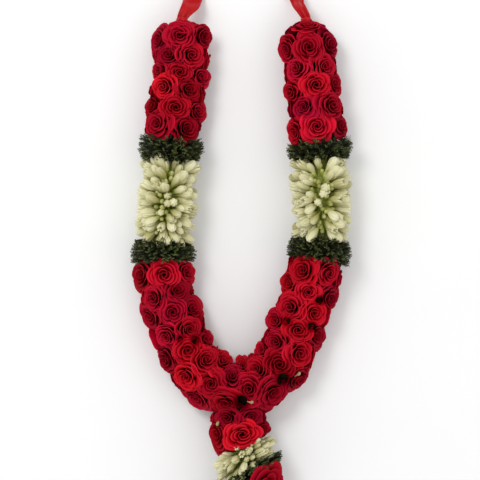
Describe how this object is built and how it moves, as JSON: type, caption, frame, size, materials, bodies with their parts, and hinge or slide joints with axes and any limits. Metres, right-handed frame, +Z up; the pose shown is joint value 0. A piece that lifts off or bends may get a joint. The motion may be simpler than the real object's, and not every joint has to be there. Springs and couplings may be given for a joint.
{
  "type": "fresh flower garland",
  "caption": "U-shaped neck garland of red roses with tuberose bands, green foliage collars, a short rose pendant and satin tie ribbons, lying flat.",
  "frame": {"origin": "on the table, under the middle of the bounding box of the whole garland", "axes": "+Z up from the table, +Y towards the tie ribbons at the neck, -Y towards the pendant's tip, +X to the right as seen from above"},
  "size_m": [0.2966, 0.8322, 0.0969],
  "materials": {
    "string": "matte cotton",
    "rose": "velvety petals",
    "tuberose": "waxy petals",
    "foliage": "matte leaves",
    "ribbon": "satin"
  },
  "bodies": {
    "root": {"string_neck": "string", "string_pendant": "string", "ribbon_left": "ribbon", "ribbon_right": "ribbon", "roses_left_top": "rose", "roses_left_middle": "rose", "roses_left_low": "rose", "roses_lower_1": "rose", "roses_lower_2": "rose", "roses_lower_3": "rose", "roses_lower_4": "rose", "roses_lower_5": "rose", "roses_lower_6": "rose", "roses_lower_7": "rose", "roses_lower_8": "rose", "roses_right_low": "rose", "roses_right_middle": "rose", "roses_right_top": "rose", "roses_pendant_collar": "rose", "roses_pendant_bell": "rose", "roses_pendant_tip": "rose", "tuberose_left": "tuberose", "tuberose_right": "tuberose", "tuberose_pendant": "tuberose", "greens_left_upper": "foliage", "greens_left_lower": "foliage", "greens_right_lower": "foliage", "greens_right_upper": "foliage", "greens_pendant": "foliage"}
  },
  "joints": []
}
